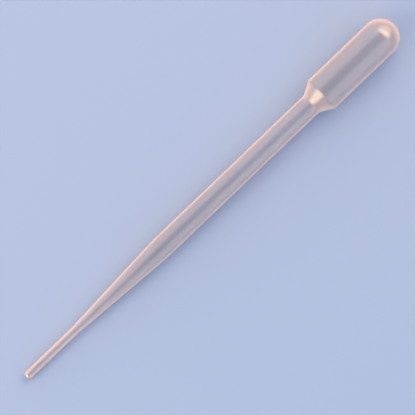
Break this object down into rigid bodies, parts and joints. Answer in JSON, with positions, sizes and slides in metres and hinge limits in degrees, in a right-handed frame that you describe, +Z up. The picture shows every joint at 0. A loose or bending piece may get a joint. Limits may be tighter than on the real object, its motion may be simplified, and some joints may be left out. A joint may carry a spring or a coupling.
{
  "type": "plastic dropper pipette",
  "caption": "Moulded translucent plastic pipette: round-ended squeeze bulb, conical shoulder, straight stem and long taper to a fine bored tip, for drawing up and dropping liquid.",
  "frame": {"origin": "point on the surface the pipette lies on, under the middle of its box", "axes": "+X from the tip towards the bulb, +Y across the pipette, +Z up from the surface it lies on"},
  "size_m": [0.155, 0.0118, 0.0127],
  "materials": {
    "milky_polyethylene": "undyed low-density polyethylene, milky and translucent, with a soft moulded sheen"
  },
  "bodies": {
    "root": {"pipette": "milky_polyethylene"}
  },
  "joints": []
}
